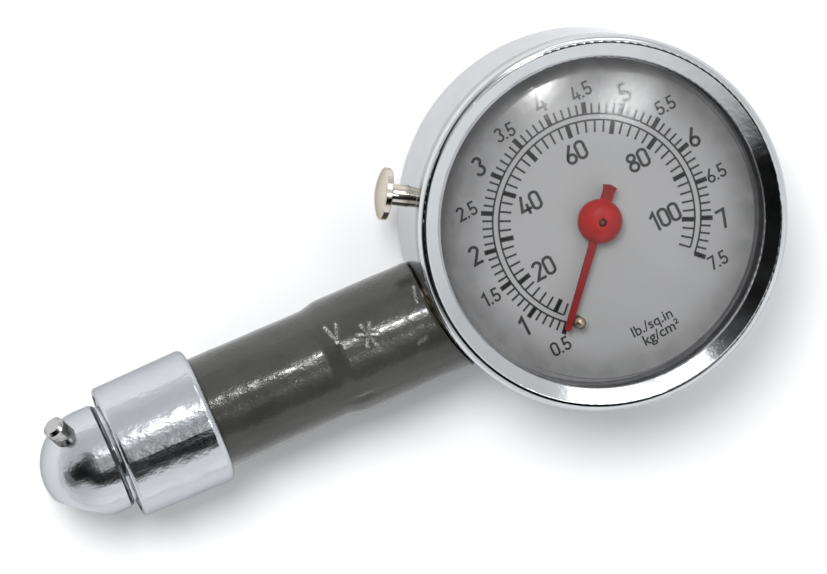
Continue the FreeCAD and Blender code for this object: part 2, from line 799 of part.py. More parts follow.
def makeCollar():
    wide = flangeRadius + seatGap
    inner = shankRadius + seatGap
    heelCut = collarHeelRound * (1 - math.sqrt(0.5))
    return onStem(turned([
        (collarRecess, collarStart), (collarRadius - collarHeelRound, collarStart),
        ((collarRadius - heelCut, collarStart + heelCut), (collarRadius, collarStart + collarHeelRound)),
        (collarFront, collarEnd - collarRound),
        ((collarFront - 0.18, collarEnd - 0.18), (collarFront - collarRound, collarEnd)), (wide, collarEnd),
        (wide, flangeStart - seatGap), (inner, flangeStart - seatGap),
        (inner, collarStart + collarRecessDepth), (collarRecess, collarStart + collarRecessDepth)]))


def ballProfile():
    """Turned outline of the chuck body, from the shank to the nose."""
    a = math.radians(45)
    nose = ballStation + ballRadius
    return [
        (0, shankStart), (shankRadius, shankStart), (shankRadius, flangeStart), (flangeRadius, flangeStart),
        (flangeRadius, flangeEnd - 0.2), (flangeRadius - 0.6, flangeEnd + 0.25), (grooveRadius, flangeEnd + 0.45),
        (grooveRadius, flangeEnd + 0.9), (ballRadius - 0.25, flangeEnd + 1.15), (ballRadius, flangeEnd + 1.6),
        (ballRadius, ballStation),
        ((ballRadius * math.cos(a), ballStation + ballRadius * math.sin(a)), (0, nose))]


def sealLow():
    return mouthFlat - mouthDepth - sealThickness


def makeBallHead():
    head = onStem(turned(ballProfile()))
    head = head.cut(onMouth(rod(2 * ballRadius, mouthFlat, mouthFlat + ballRadius)))
    head = head.cut(onMouth(rod(mouthRadius, mouthFlat - mouthDepth, mouthFlat + 1)))
    head = head.cut(onMouth(rod(sealRadius, sealLow(), mouthFlat - mouthDepth)))
    head = head.cut(onMouth(rod(pinBaseRadius, sealLow() - 2 * pinBaseThickness, sealLow())))
    head = head.cut(onStem(rod(checkOrifice, checkSeat - 1, ballStation)))
    head = head.cut(onStem(rod(checkBore, shankStart - 1, checkSeat)))
    head = head.cut(onStem(tube(stemTube, checkBore - 1, shankStart - 1, stemTubeEnd)))
    return head.cut(makeDeflatorNib())


def makeChuckSeal():
    return onMouth(tube(sealRadius, sealHole, sealLow(), mouthFlat - mouthDepth))


def makeDepressorPin():
    base = rod(pinBaseRadius, sealLow() - pinBaseThickness, sealLow())
    for i in range(3):
        base = base.cut(rod(pinAirHole, -ballRadius, ballRadius, polar(2.0, 120 * i)))
    tip = mouthFlat - mouthDepth
    pin = turned([
        (0, sealLow() - 0.2), (pinRadius, sealLow() - 0.2), (pinRadius, tip - 0.4), (pinRadius - 0.3, tip - 0.1),
        (0, tip - 0.1)])
    return onMouth(base.fuse(pin))


def makeDeflatorNib():
    start = ballRadius - nibSeat
    end = ballRadius + nibReach
    nib = turned([
        (0, start), (nibRadius, start), (nibRadius, end - nibChamfer), (nibRadius - nibChamfer, end), (0, end)])
    return laidAlong(nib, nibDirection, Vector(-ballStation, stemY, stemZ))


def makeCheckPoppet():
    low = checkSeat - poppetThickness
    poppet = turned([
        (0, low - poppetStemLength), (poppetStem, low - poppetStemLength), (poppetStem, low),
        (poppetRadius, low), (poppetRadius, checkSeat - 0.02), (0, checkSeat - 0.02)])
    return onStem(poppet)


def makeCheckSpring():
    low = cageStation + cageThickness
    return onStem(coil(poppetRadius - 0.8, coilWire, low, checkSeat - poppetThickness, 3))


def makeCheckCage():
    """Perforated disc pressed into the shank; it guides the poppet's stem and carries the spring."""
    cage = tube(stemBore - 0.7, poppetStem + 0.08, cageStation - 0.8, cageStation + cageThickness)
    cage = cage.common(rod(checkBore, cageStation - 1, cageStation + cageThickness + 1))
    for i in range(4):
        cage = cage.cut(rod(0.65, cageStation - 1, cageStation + cageThickness + 1, polar(2.15, 45 + 90 * i)))
    return onStem(cage)


parts = {
    "case_can": makeCase,
    "bezel_ring": makeBezel,
    "lens": makeLens,
    "lens_gasket": makeLensGasket,
    "dial_spacer_ring": makeSpacerRing,
    "dial_plate": makeDial,
    "stop_pin": makeStopPin,
    "pointer": makePointer,
    "pinion_arbor": makePinionArbor,
    "hairspring": makeHairspring,
    "hairspring_collet": makeHairspringCollet,
    "hairspring_stud": makeHairspringStud,
    "sector_gear": makeSectorGear,
    "sector_arbor": makeSectorArbor,
    "tube_link": makeLink,
    "movement_lower_plate": makeLowerPlate,
    "movement_upper_plate": makeUpperPlate,
    "movement_pillars": makePillars,
    "movement_screws": makeMovementScrews,
    "movement_frame_screws": makeFrameScrews,
    "bourdon_tube": makeBourdonTube,
    "bourdon_tip": makeTubeTip,
    "socket_block": makeSocketBlock,
    "release_button": makeReleaseButton,
    "release_plunger": makeReleasePlunger,
    "release_bushing": makeReleaseBushing,
    "release_seal": makeReleaseSeal,
    "release_spring": makeReleaseSpring,
    "stem_neck": makeStemNeck,
    "stem_tube": makeStemTube,
    "grip_sleeve": makeGripSleeve,
    "chuck_collar": makeCollar,
    "chuck_ball": makeBallHead,
    "chuck_seal": makeChuckSeal,
    "depressor_pin": makeDepressorPin,
    "deflator_nib": makeDeflatorNib,
    "check_valve_poppet": makeCheckPoppet,
    "check_valve_spring": makeCheckSpring,
    "check_valve_cage": makeCheckCage,
}

os.makedirs("parts", exist_ok=True)
for name, make in parts.items():
    shape = make()
    shape.exportStep("parts/" + name + ".step")
    print(name, "solids", len(shape.Solids), "valid", shape.isValid(), "volume", round(shape.Volume, 2))
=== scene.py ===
import math

import bmesh
import bpy
from mathutils import Matrix, Vector, noise


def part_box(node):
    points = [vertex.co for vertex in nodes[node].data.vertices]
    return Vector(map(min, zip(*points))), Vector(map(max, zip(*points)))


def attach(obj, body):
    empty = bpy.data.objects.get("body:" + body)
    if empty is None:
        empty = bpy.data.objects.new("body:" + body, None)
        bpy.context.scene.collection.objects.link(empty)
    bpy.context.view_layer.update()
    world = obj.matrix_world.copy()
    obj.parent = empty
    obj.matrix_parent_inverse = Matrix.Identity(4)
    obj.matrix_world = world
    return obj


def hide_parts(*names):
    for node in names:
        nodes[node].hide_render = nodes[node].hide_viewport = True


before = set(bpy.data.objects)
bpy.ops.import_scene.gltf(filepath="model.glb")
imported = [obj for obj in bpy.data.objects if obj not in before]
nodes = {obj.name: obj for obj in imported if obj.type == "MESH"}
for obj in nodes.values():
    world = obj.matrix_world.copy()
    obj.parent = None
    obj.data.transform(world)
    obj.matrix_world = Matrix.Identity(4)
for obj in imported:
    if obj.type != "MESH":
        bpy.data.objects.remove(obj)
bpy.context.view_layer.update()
scene = bpy.context.scene
mm = 0.001
print("frame loaded:", len(nodes), "nodes")


# a socket that can be used in sums; every sum adds its Math node
class Wire:
    def __init__(self, graph, socket):
        self.graph = graph
        self.socket = socket

    def sum(self, operation, first, second=0.0):
        made = self.graph.node("ShaderNodeMath", {"operation": operation}, {0: first, 1: second})
        return made[0]

    def __add__(self, other):
        return self.sum("ADD", self, other)

    def __radd__(self, other):
        return self.sum("ADD", other, self)

    def __sub__(self, other):
        return self.sum("SUBTRACT", self, other)

    def __rsub__(self, other):
        return self.sum("SUBTRACT", other, self)

    def __mul__(self, other):
        return self.sum("MULTIPLY", self, other)

    def __rmul__(self, other):
        return self.sum("MULTIPLY", other, self)

    def __pow__(self, other):
        return self.sum("POWER", self, other)

    def ramp(self, low, high, start=0.0, end=1.0):
        made = self.graph.node(
            "ShaderNodeMapRange", {"interpolation_type": "SMOOTHSTEP"},
            {"Value": self, "From Min": low, "From Max": high, "To Min": start, "To Max": end})
        return made["Result"]


class Made:
    def __init__(self, graph, node):
        self.graph = graph
        self.node = node

    def __getitem__(self, name):
        return Wire(self.graph, self.node.outputs[name])


class Graph:
    def __init__(self, tree):
        self.tree = tree
        tree.nodes.clear()

    def node(self, kind, settings=None, values=None):
        made = self.tree.nodes.new(kind)
        for name, value in (settings or {}).items():
            setattr(made, name, value)
        for name, value in (values or {}).items():
            if isinstance(value, Wire):
                self.tree.links.new(value.socket, made.inputs[name])
            else:
                made.inputs[name].default_value = value
        return Made(self, made)

    def place(self):
        return self.node("ShaderNodeTexCoord")["Object"]

    def fromAxis(self):
        # distance from the dial's axis
        flat = self.node("ShaderNodeMapping", None, {
            "Vector": self.place(), "Scale": (1.0, 1.0, 0.0)})["Vector"]
        return self.node("ShaderNodeVectorMath", {"operation": "LENGTH"}, {0: flat})["Value"]

    def noise(self, scale, detail=2.0, roughness=0.5, stretch=None):
        where = self.place()
        if stretch:
            where = self.node("ShaderNodeMapping", None, {"Vector": where, "Scale": stretch})["Vector"]
        made = self.node(
            "ShaderNodeTexNoise", None,
            {"Vector": where, "Scale": scale, "Detail": detail, "Roughness": roughness})
        return made["Fac"]

    def blend(self, factor, first, second):
        made = self.node(
            "ShaderNodeMix", {"data_type": "RGBA"}, {0: factor, 6: first, 7: second})
        return made[2]

    def bump(self, height, strength, distance, normal=None):
        values = {"Height": height, "Strength": strength, "Distance": distance}
        if normal:
            values["Normal"] = normal
        return self.node("ShaderNodeBump", None, values)["Normal"]


def newMaterial(name):
    material = bpy.data.materials.new(name)
    material.use_nodes = True
    return material, Graph(material.node_tree)


def finishMaterial(graph, values):
    shader = graph.node("ShaderNodeBsdfPrincipled", None, values)
    graph.node("ShaderNodeOutputMaterial", None, {"Surface": shader["BSDF"]})


def colour(red, green, blue):
    return (red, green, blue, 1.0)


# metals: a base colour, a mean roughness, then a fine orange peel, a dapple and a slow waviness
metals = {
    "chrome": dict(tone=colour(0.61, 0.62, 0.63), rough=0.10, peel=0.5, dapple=0.25, wave=0.8),
    "chuckChrome": dict(tone=colour(0.545, 0.56, 0.58), rough=0.17, peel=0.8, dapple=1.2, wave=1.2),
    "caseChrome": dict(tone=colour(0.71, 0.715, 0.725), rough=0.08, peel=0.2, dapple=0.12, wave=0.8),
    "nibMetal": dict(tone=colour(0.44, 0.425, 0.42), rough=0.1, peel=0.8, dapple=1.2, wave=0.8),
    "nickel": dict(tone=colour(0.62, 0.57, 0.50), rough=0.13, peel=0.3, dapple=0.4, wave=0.3),
    "brass": dict(tone=colour(0.78, 0.57, 0.24), rough=0.24, peel=0.4, dapple=0.4, wave=0.2),
    "bronze": dict(tone=colour(0.62, 0.38, 0.18), rough=0.27, peel=0.4, dapple=0.5, wave=0.3),
    "steel": dict(tone=colour(0.58, 0.58, 0.6), rough=0.28, peel=0.5, dapple=0.3, wave=0.2),
    "aluminium": dict(tone=colour(0.55, 0.55, 0.56), rough=0.35, peel=0.4, dapple=0.3, wave=0.2),
    "pinMetal": dict(tone=colour(0.42, 0.33, 0.24), rough=0.3, peel=0.5, dapple=0.6, wave=0.3),
    # arborPaintedShade: the arbor end's dark red-brown is painted shade, for the shade in the hub's dimple
    "arborPaintedShade": dict(tone=colour(0.17, 0.05, 0.035), rough=0.4, peel=0.5, dapple=0.6, wave=0.3),
}


def makeMetal(name):
    look = metals[name]
    material, g = newMaterial(name)
    smudge = g.noise(160.0, 4.0, 0.6)
    scratch = g.noise(900.0, 3.0, 0.7, stretch=(1.0, 1.0, 6.0))
    dull = tuple(0.86 * c for c in look["tone"][:3]) + (1.0,)
    tone = g.blend(smudge.ramp(0.35, 0.75) * 0.4, look["tone"], dull)
    rough = smudge.ramp(0.4, 0.7) * 0.05 + scratch.ramp(0.5, 0.8) * 0.04 + look["rough"]
    slow = g.bump(g.noise(75.0, 1.0, 0.4), look["wave"] * 0.25, 0.001)
    middle = g.bump(g.noise(420.0, 3.0, 0.6, stretch=(0.6, 1.0, 1.0)), look["dapple"] * 0.1, 0.001, slow)
    normal = g.bump(g.noise(2300.0, 2.0, 0.5), look["peel"] * 0.1, 0.0001, middle)
    finishMaterial(g, {
        "Base Color": tone, "Metallic": 1.0, "Roughness": rough, "Normal": normal,
        "Specular Tint": look["tone"]})
    return material


def makeRubber():
    material, g = newMaterial("blackRubber")
    grain = g.noise(1800.0, 3.0, 0.6)
    tone = g.blend(grain.ramp(0.3, 0.7), colour(0.012, 0.012, 0.012), colour(0.03, 0.03, 0.028))
    finishMaterial(g, {
        "Base Color": tone, "Roughness": grain * 0.2 + 0.5, "Normal": g.bump(grain, 0.3, 0.0001)})
    return material


def makeDialPaint():
    material, g = newMaterial("dialLacquer")
    grain = g.noise(4200.0, 3.0, 0.6)
    cloud = g.noise(60.0, 2.0, 0.5)
    tone = g.blend(cloud.ramp(0.3, 0.75), colour(0.292, 0.292, 0.294), colour(0.325, 0.325, 0.327))
    finishMaterial(g, {
        "Base Color": tone, "Roughness": grain * 0.12 + 0.42, "Normal": g.bump(grain, 0.08, 0.0001)})
    return material


def makeInk():
    material, g = newMaterial("dialInk")
    grain = g.noise(2600.0, 3.0, 0.6)
    tone = g.blend(grain.ramp(0.35, 0.7), colour(0.006, 0.006, 0.007), colour(0.02, 0.02, 0.021))
    finishMaterial(g, {"Base Color": tone, "Roughness": grain * 0.2 + 0.45})
    return material


# the pointer's red, with painted light: the domed hub is a paler red than the needle, as if lit more; the
# two reaches are in metres
redLook = dict(
    hubDeep=colour(0.28, 0.004, 0.003), hubPale=colour(0.33, 0.006, 0.005),
    needleDeep=colour(0.15, 0.002, 0.002), needlePale=colour(0.20, 0.003, 0.003),
    hubEdge=0.0031, needleStart=0.0036, shine=0.18)


def makeRedPaint():
    look = redLook
    material, g = newMaterial("redPaint")
    grain = g.noise(500.0, 3.0, 0.6)
    # painted light: inside this reach the hub gets the paler, lit red
    outer = g.fromAxis().ramp(look["hubEdge"], look["needleStart"])
    hub = g.blend(grain.ramp(0.35, 0.7), look["hubDeep"], look["hubPale"])
    needle = g.blend(grain.ramp(0.35, 0.7), look["needleDeep"], look["needlePale"])
    finishMaterial(g, {
        "Base Color": g.blend(outer, hub, needle), "Roughness": grain * 0.12 + 0.32,
        "Specular IOR Level": look["shine"],
        "Normal": g.bump(g.noise(1500.0), 0.12, 0.0001)})
    return material


# the lens: clear in the middle, with painted shade towards the rim for the shade under the bezel; starts and
# ends are in metres from the axis
lensLook = dict(
    clear=0.985, tint=0.78, shadeStart=0.0165, shadeEnd=0.0228, rimStart=0.0221, rimEnd=0.0226,
    gloss=0.015, slantPower=5.0, slantGloss=0.9, rimGloss=0.35, rough=0.1)


def makeLensMaterial():
    look = lensLook
    material, g = newMaterial("clearLens")
    facing = g.node("ShaderNodeLayerWeight", None, {"Blend": 0.5})["Facing"]
    reach = g.fromAxis()
    inside = reach.ramp(look["rimStart"], look["rimEnd"], 1.0, 0.0)
    smear = g.noise(220.0, 4.0, 0.6)
    cloud = g.noise(260.0, 3.0, 0.6).ramp(0.25, 0.7, 0.45, 1.0)
    # painted shade: the lens darkens the dial behind it towards the rim, in blotches, for the shade the
    # bezel throws there
    shade = reach.ramp(look["shadeStart"], look["shadeEnd"]) * cloud
    clear = g.node("ShaderNodeBsdfTransparent", None, {"Color": colour(*[look["clear"]] * 3)})
    tint = g.node("ShaderNodeBsdfTransparent", None, {"Color": colour(*[look["tint"]] * 3)})
    body = g.node("ShaderNodeMixShader", None, {0: shade, 1: clear["BSDF"], 2: tint["BSDF"]})
    gloss = g.node("ShaderNodeBsdfAnisotropic", None, {
        "Color": colour(1.0, 1.0, 1.0), "Roughness": look["rough"], "Normal": g.bump(smear, 0.05, 0.0002)})
    mirror = facing ** look["slantPower"] * look["slantGloss"] + look["gloss"]
    mirror = mirror * inside.ramp(0.0, 1.0, look["rimGloss"], 1.0)
    both = g.node("ShaderNodeMixShader", None, {0: mirror, 1: body["Shader"], 2: gloss["BSDF"]})
    g.node("ShaderNodeOutputMaterial", None, {"Surface": both["Shader"]})
    return material


# the shrunk sleeve, with its soft step, creases and dents; stations and radii in mm on the stem
sleeveLook = dict(
    axisY=-5.1, axisZ=10.2, caseReach=27.1, end=64.3, thick=8.9, thin=8.4, inner=7.5,
    stepAt=42.1, stepHalf=1.5, stepLean=0.25, stepLeanAngle=0.0, rings=285, sides=300,
    edgeRound=0.35, wander=0.07, flutes=0.03, wornReach=0.4,
    creases=[
        dict(a=(41.9, 46.0), b=(41.2, 65.0), wide=0.27, high=0.10, worn=1.0),
        dict(a=(40.3, 48.0), b=(41.2, 65.0), wide=0.27, high=0.10, worn=1.0),
        dict(a=(35.9, 60.0), b=(37.6, 79.0), wide=0.27, high=0.06, worn=0.9),
        dict(a=(35.4, 73.0), b=(38.2, 66.0), wide=0.27, high=0.06, worn=0.9),
        dict(a=(37.2, 59.0), b=(36.4, 80.0), wide=0.27, high=0.06, worn=0.9),
        dict(a=(27.9, 44.0), b=(28.4, 58.0), wide=0.30, high=0.10, worn=0.8),
        dict(a=(26.6, 40.0), b=(27.2, 56.0), wide=0.30, high=0.10, worn=0.8),
        dict(a=(29.2, 94.0), b=(30.6, 96.0), wide=0.20, high=0.05, worn=0.3),
    ],
    dents=[dict(at=(40.2, 127.0), long=2.2, wide=0.75, deep=0.16)])


def sleevePlace(station, degrees, radius):
    angle = math.radians(degrees)
    y = sleeveLook["axisY"] + radius * math.cos(angle)
    return Vector((-station, y, sleeveLook["axisZ"] + radius * math.sin(angle))) * mm


def nearLine(g, first, last, reach):
    # one on the line between two points, none farther off than the reach
    way = last - first
    offset = g.node("ShaderNodeVectorMath", {"operation": "SUBTRACT"}, {
        0: g.place(), 1: tuple(first)})["Vector"]
    along = g.node("ShaderNodeVectorMath", {"operation": "DOT_PRODUCT"}, {
        0: offset, 1: tuple(way / way.length_squared)})["Value"]
    along = along.sum("MAXIMUM", along)
    along = along.sum("MINIMUM", along, 1.0)
    foot = g.node("ShaderNodeVectorMath", {"operation": "SCALE"}, {0: tuple(way), "Scale": along})["Vector"]
    away = g.node("ShaderNodeVectorMath", {"operation": "DISTANCE"}, {0: offset, 1: foot})["Value"]
    return away.ramp(0.0, reach, 1.0, 0.0)


def makeSleeveMaterial():
    material, g = newMaterial("greySleeve")
    mottle = g.noise(120.0, 4.0, 0.6)
    grain = g.noise(1600.0, 3.0, 0.6)
    tone = g.blend(mottle.ramp(0.3, 0.75), colour(0.031, 0.0305, 0.0268), colour(0.043, 0.042, 0.0375))
    # painted glint: a speckled pale grey laid into the base colour along each crease ridge, for the sparkle
    # of light on the creases
    worn = 0.0
    for crease in sleeveLook["creases"]:
        ends = [sleevePlace(*crease[end], sleeveLook["thick"] - 0.1) for end in ("a", "b")]
        worn = nearLine(g, ends[0], ends[1], sleeveLook["wornReach"] * mm) * crease["worn"] + worn
    speck = g.noise(5200.0, 2.0, 0.6).ramp(0.42, 0.6)
    tone = g.blend(worn * speck, tone, colour(0.62, 0.62, 0.60))
    rough = mottle.ramp(0.3, 0.8) * 0.05 + grain * 0.05 + 0.15
    slow = g.bump(g.noise(330.0, 2.0, 0.5, stretch=(0.5, 1.0, 1.0)), 0.9, 0.0001)
    normal = g.bump(grain, 0.4, 0.0001, slow)
    glint = g.noise(3600.0, 2.0, 0.6).ramp(0.38, 0.62, 0.1, 0.34)
    finishMaterial(g, {
        "Base Color": tone, "Roughness": rough, "Specular IOR Level": 0.38, "Coat Weight": glint,
        "Coat Roughness": 0.07, "Normal": normal})
    return material


def makeFloorMaterial():
    material, g = newMaterial("paleFloor")
    cloud = g.noise(3.0, 2.0, 0.5)
    tone = g.blend(cloud, colour(0.88, 0.88, 0.885), colour(0.9, 0.9, 0.905))
    finishMaterial(g, {"Base Color": tone, "Roughness": 0.65, "Specular IOR Level": 0.2})
    return material


materials = {name: makeMetal(name) for name in metals}
materials.update(
    rubber=makeRubber(), dial=makeDialPaint(), ink=makeInk(), red=makeRedPaint(), lens=makeLensMaterial(),
    sleeve=makeSleeveMaterial(), floor=makeFloorMaterial())
print("materials made:", len(materials))

nodeFinish = {
    "caseChrome": ["case_can"],
    "chrome": ["bezel_ring"],
    "chuckChrome": ["chuck_collar", "chuck_ball"],
    "nibMetal": ["deflator_nib"],
    "nickel": ["release_button"],
    "brass": [
        "hairspring_collet", "hairspring_stud", "sector_gear", "tube_link", "movement_lower_plate",
        "movement_upper_plate", "movement_pillars", "bourdon_tip", "socket_block", "release_plunger",
        "release_bushing", "stem_neck", "depressor_pin", "check_valve_cage"],
    "bronze": ["hairspring", "bourdon_tube"],
    "steel": [
        "sector_arbor", "movement_screws", "movement_frame_screws", "release_spring",
        "stem_tube", "check_valve_spring"],
    "aluminium": ["dial_spacer_ring"],
    "pinMetal": ["stop_pin"],
    "arborPaintedShade": ["pinion_arbor"],
    "rubber": ["lens_gasket", "release_seal", "chuck_seal", "check_valve_poppet"],
    "dial": ["dial_plate"],
    "red": ["pointer"],
    "lens": ["lens"],
    "sleeve": ["grip_sleeve"],
}


def dressNodes():
    for finish, names in nodeFinish.items():
        for name in names:
            slots = nodes[name].data.materials
            slots.clear()
            slots.append(materials[finish])


dressNodes()
print("cad nodes dressed")


# dial print, all sizes in mm on the dial's own upright frame
dialLook = dict(
    turn=5.0, top=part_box("dial_plate")[1].z / mm, inkHeight=0.03,
    outerArc=15.3, innerArc=14.4, lineWidth=0.26,
    kgStart=226.6, kgSweep=273.2, kgLow=0.5, kgHigh=7.5,
    psiAtTop=56.9, degreesPerPsi=2.731, psiLow=8, psiHigh=106, kgThick=15, psiThick=10,
    thinWidth=0.29, thickWidth=0.7, thinOut=1.5, thickOut=1.75, thinIn=1.75, thickIn=1.95,
    unitLetters=2.2, stroke=0.145, digitWide=1.13)


def plainMesh(source, name):
    depsgraph = bpy.context.evaluated_depsgraph_get()
    mesh = bpy.data.meshes.new_from_object(source.evaluated_get(depsgraph), depsgraph=depsgraph)
    made = bpy.data.objects.new(name, mesh)
    scene.collection.objects.link(made)
    bpy.data.objects.remove(source)
    return made


def runTree(name, tree, inputs):
    holder = bpy.data.objects.new(name + "Source", bpy.data.meshes.new(name + "Source"))
    scene.collection.objects.link(holder)
    modifier = holder.modifiers.new("nodes", "NODES")
    modifier.node_group = tree
    for item in tree.interface.items_tree:
        if item.in_out == "INPUT" and item.name in inputs:
            modifier[item.identifier] = inputs[item.name]
    bpy.context.view_layer.update()
    return plainMesh(holder, name)


def newTree(name, inputs):
    tree = bpy.data.node_groups.new(name, "GeometryNodeTree")
    for label, kind in inputs:
        tree.interface.new_socket(label, in_out="INPUT", socket_type=kind)
    tree.interface.new_socket("Geometry", in_out="OUTPUT", socket_type="NodeSocketGeometry")
    return tree, Graph(tree)


def closeTree(g, geometry, material):
    real = g.node("GeometryNodeRealizeInstances", None, {"Geometry": geometry})
    inked = g.node("GeometryNodeSetMaterial", None, {"Geometry": real["Geometry"], "Material": material})
    g.node("NodeGroupOutput", None, {"Geometry": inked["Geometry"]})


def makeTickTree():
    # a row of bars that stand across an arc: bar n is centred at start + n * step
    tree, g = newTree("scaleTicks", [
        ("Count", "NodeSocketInt"), ("Start", "NodeSocketFloat"), ("Step", "NodeSocketFloat"),
        ("Inner", "NodeSocketFloat"), ("Outer", "NodeSocketFloat"), ("Width", "NodeSocketFloat"),
        ("Base", "NodeSocketFloat"), ("Height", "NodeSocketFloat")])
    given = g.node("NodeGroupInput")
    angle = given["Start"] + g.node("GeometryNodeInputIndex")["Index"] * given["Step"]
    middle = (given["Inner"] + given["Outer"]) * 0.5
    place = g.node("ShaderNodeCombineXYZ", None, {
        "X": middle * angle.sum("COSINE", angle), "Y": middle * angle.sum("SINE", angle),
        "Z": given["Base"] + given["Height"] * 0.5})
    points = g.node("GeometryNodePoints", None, {"Count": given["Count"], "Position": place["Vector"]})
    size = g.node("ShaderNodeCombineXYZ", None, {
        "X": given["Outer"] - given["Inner"], "Y": given["Width"], "Z": given["Height"]})
    bar = g.node("GeometryNodeMeshCube", None, {"Size": size["Vector"]})
    turn = g.node("ShaderNodeCombineXYZ", None, {"Z": angle})
    rows = g.node("GeometryNodeInstanceOnPoints", None, {
        "Points": points["Points"], "Instance": bar["Mesh"], "Rotation": turn["Vector"]})
    closeTree(g, rows["Instances"], materials["ink"])
    return tree


def makeArcTree():
    # a flat printed line along an arc
    tree, g = newTree("scaleArc", [
        ("Radius", "NodeSocketFloat"), ("Start", "NodeSocketFloat"), ("Sweep", "NodeSocketFloat"),
        ("Width", "NodeSocketFloat"), ("Base", "NodeSocketFloat"), ("Height", "NodeSocketFloat")])
    given = g.node("NodeGroupInput")
    arc = g.node("GeometryNodeCurveArc", None, {
        "Resolution": 220, "Radius": given["Radius"], "Start Angle": given["Start"],
        "Sweep Angle": given["Sweep"]})
    line = g.node("GeometryNodeCurvePrimitiveQuadrilateral", None, {
        "Width": given["Width"], "Height": given["Height"]})
    band = g.node("GeometryNodeCurveToMesh", None, {
        "Curve": arc["Curve"], "Profile Curve": line["Curve"], "Fill Caps": True})
    lift = g.node("ShaderNodeCombineXYZ", None, {"Z": given["Base"] + given["Height"] * 0.5})
    placed = g.node("GeometryNodeTransform", None, {"Geometry": band["Mesh"], "Translation": lift["Vector"]})
    closeTree(g, placed["Geometry"], materials["ink"])
    return tree


def joinPieces(pieces, name):
    joined = bmesh.new()
    for piece in pieces:
        joined.from_mesh(piece.data)
        bpy.data.objects.remove(piece)
    return meshObject(name, joined, "ink")


def meshObject(name, shape, material, smooth=False):
    mesh = bpy.data.meshes.new(name)
    bmesh.ops.recalc_face_normals(shape, faces=shape.faces)
    for face in shape.faces:
        face.smooth = smooth
        face.material_index = 0
    shape.to_mesh(mesh)
    shape.free()
    mesh.materials.clear()
    mesh.materials.append(materials[material])
    made = bpy.data.objects.new(name, mesh)
    scene.collection.objects.link(made)
    return made


def makeScale():
    d = dialLook
    turn = d["turn"]
    base, high = d["top"] * mm, d["inkHeight"] * mm
    ticks, arcs = makeTickTree(), makeArcTree()
    perKg = d["kgSweep"] / (d["kgHigh"] - d["kgLow"])
    rows = []

    def row(count, start, step, inner, outer, width):
        rows.append(runTree("row%d" % len(rows), ticks, {
            "Count": count, "Start": math.radians(start + turn), "Step": -math.radians(step),
            "Inner": inner * mm, "Outer": outer * mm, "Width": width * mm, "Base": base, "Height": high}))

    def psiAngle(psi):
        return 90 + (d["psiAtTop"] - psi) * d["degreesPerPsi"]

    thins = round((d["kgHigh"] - d["kgLow"]) * 10) + 1
    row(thins, d["kgStart"], perKg / 10, d["outerArc"], d["outerArc"] + d["thinOut"], d["thinWidth"])
    row(d["kgThick"], d["kgStart"], perKg / 2, d["outerArc"], d["outerArc"] + d["thickOut"], d["thickWidth"])
    psiThins = (d["psiHigh"] - d["psiLow"]) // 2 + 1
    row(psiThins, psiAngle(d["psiLow"]), 2 * d["degreesPerPsi"], d["innerArc"] - d["thinIn"], d["innerArc"],
        d["thinWidth"])
    row(d["psiThick"], psiAngle(10), 10 * d["degreesPerPsi"], d["innerArc"] - d["thickIn"], d["innerArc"],
        d["thickWidth"])
    kgEnd = d["kgStart"] - d["kgSweep"]
    innerStart, innerEnd = psiAngle(d["psiLow"]), psiAngle(d["psiHigh"])
    for radius, start, end in (
            (d["outerArc"], d["kgStart"], kgEnd), (d["innerArc"], innerStart, innerEnd)):
        rows.append(runTree("arc%d" % len(rows), arcs, {
            "Radius": radius * mm, "Start": math.radians(start + turn), "Sweep": math.radians(end - start),
            "Width": d["lineWidth"] * mm, "Base": base, "Height": high}))
    return joinPieces(rows, "dialScale")


# numerals are drawn as strokes of one width in a cell one unit high
def bow(x, y, wide, high, start, end):
    count = max(4, int(abs(end - start) / 12))
    turns = [math.radians(start + (end - start) * i / count) for i in range(count + 1)]
    return [(x + wide * math.cos(a), y + high * math.sin(a)) for a in turns]


glyphs = {
    "0": (0.52, [
        bow(0.26, 0.735, 0.19, 0.19, 0, 180) + bow(0.26, 0.265, 0.19, 0.19, 180, 360) + [(0.45, 0.735)]]),
    "1": (0.40, [[(0.06, 0.74), (0.27, 0.95), (0.27, 0.0)]]),
    "2": (0.52, [bow(0.26, 0.735, 0.18, 0.19, 170, -38) + [(0.08, 0.075), (0.48, 0.075)]]),
    "3": (0.52, [bow(0.25, 0.74, 0.17, 0.185, 165, -75), bow(0.25, 0.29, 0.19, 0.22, 82, -162)]),
    "4": (0.55, [[(0.29, 1.0), (0.07, 0.26), (0.54, 0.26)], [(0.38, 0.54), (0.38, 0.0)]]),
    "5": (0.52, [[(0.45, 0.925), (0.13, 0.925), (0.11, 0.50)] + bow(0.255, 0.31, 0.19, 0.235, 128, -160)]),
    "6": (0.52, [bow(0.26, 0.29, 0.19, 0.215, 0, 360), [(0.39, 0.99), (0.12, 0.48), (0.075, 0.33)]]),
    "7": (0.50, [[(0.04, 0.925), (0.44, 0.925), (0.19, 0.0)]]),
    "8": (0.52, [bow(0.26, 0.745, 0.165, 0.18, 0, 360), bow(0.26, 0.285, 0.19, 0.21, 0, 360)]),
    ".": (0.24, [[(0.11, 0.0), (0.11, 0.15)]]),
}


